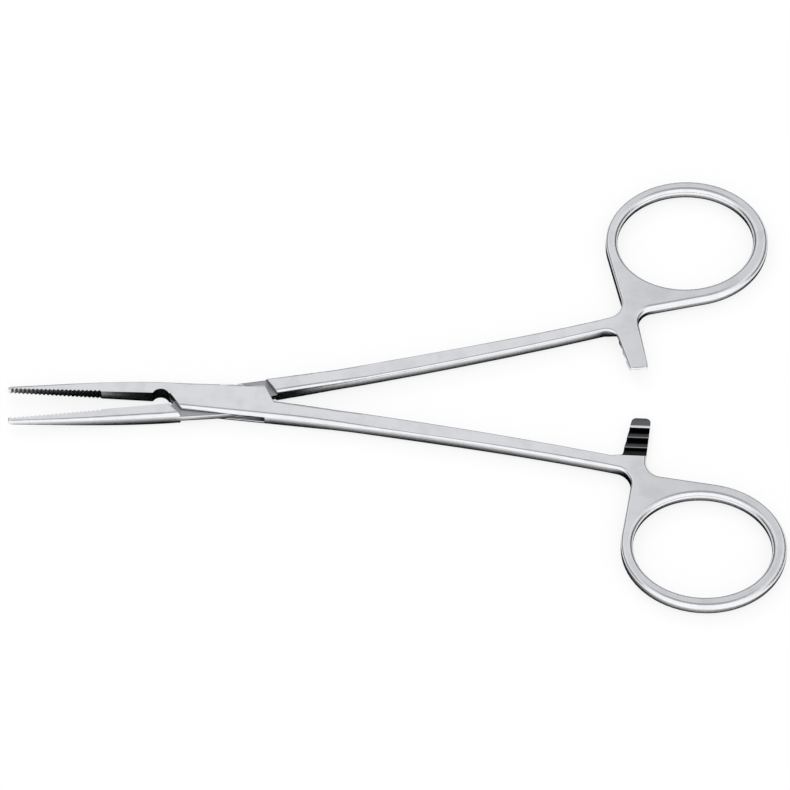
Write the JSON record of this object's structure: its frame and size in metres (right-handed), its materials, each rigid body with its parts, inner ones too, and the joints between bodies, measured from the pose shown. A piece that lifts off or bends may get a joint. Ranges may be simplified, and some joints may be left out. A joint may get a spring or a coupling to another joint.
{
  "type": "hemostat forceps",
  "caption": "Locking forceps with box-lock hinge, serrated tapered jaws, slim shanks, ratchet arms and oval finger rings.",
  "frame": {"origin": "on the pin's axis, at the lock's underside", "axes": "-X along the jaws, +X towards the finger rings, +Y across from the box half's ring to the tongue half's ring, +Z along the pin"},
  "size_m": [0.1399, 0.0902, 0.0035],
  "materials": {
    "polished_steel": "polished stainless steel",
    "pin_steel": "pressed flush and ground with the plates"
  },
  "bodies": {
    "box": {"box_half": "polished_steel", "joint_pin": "pin_steel"},
    "tongue": {"tongue_half": "polished_steel"}
  },
  "joints": [
    {"name": "lock_hinge", "type": "hinge", "parent": "box", "child": "tongue", "pos_m": [0, 0, 0.00175], "axis": [0, 0, 1], "range_deg": [-8.7, 60]}
  ]
}
